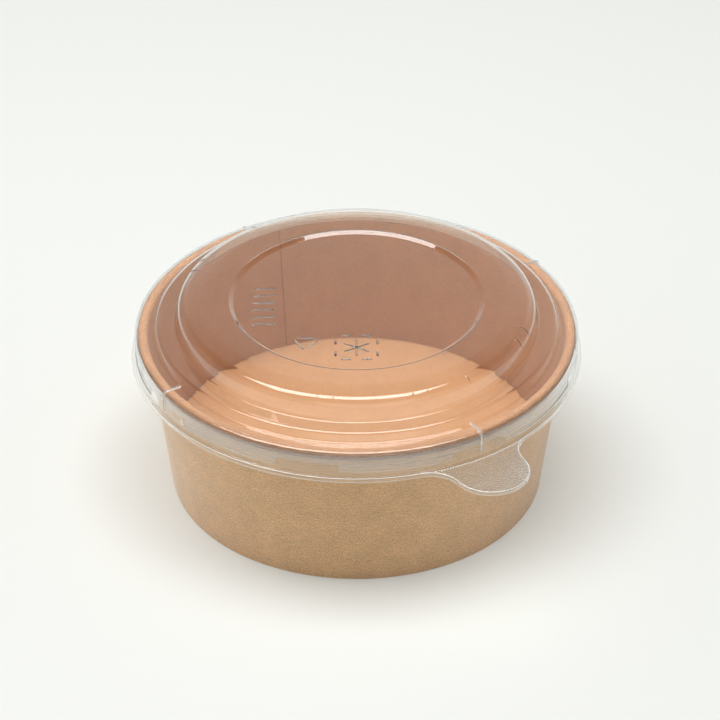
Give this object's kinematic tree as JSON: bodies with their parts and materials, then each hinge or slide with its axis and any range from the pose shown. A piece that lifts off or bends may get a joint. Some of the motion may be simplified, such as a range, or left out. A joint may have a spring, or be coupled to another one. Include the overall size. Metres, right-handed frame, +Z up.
{
  "type": "kraft paper bowl with clear lid",
  "caption": "Round tapered kraft paper food bowl with a rolled rim, a recessed floor and a stepped clear press-on lid with a pull tab.",
  "frame": {"origin": "centre of the bowl's foot ring, on the surface that it stands on", "axes": "+Z up along the axis of the bowl and the lid's travel, -Y towards the side that the picture shows, with the pull tab between -Y and +X"},
  "size_m": [0.1544, 0.1615, 0.071],
  "materials": {
    "kraft_outside": "uncoated brown kraft with fine fibre flecks",
    "kraft_floor": "brown kraft with a thin satin liner",
    "clear_film": "clear thermoformed film"
  },
  "bodies": {
    "bowl": {"side_wall": "kraft_outside", "bottom_disc": "kraft_floor"},
    "lid": {"lid": "clear_film"}
  },
  "joints": [
    {"name": "lid_lift", "type": "slide", "parent": "bowl", "child": "lid", "axis": [0, 0, 1], "range_m": [0, 0.06]}
  ]
}
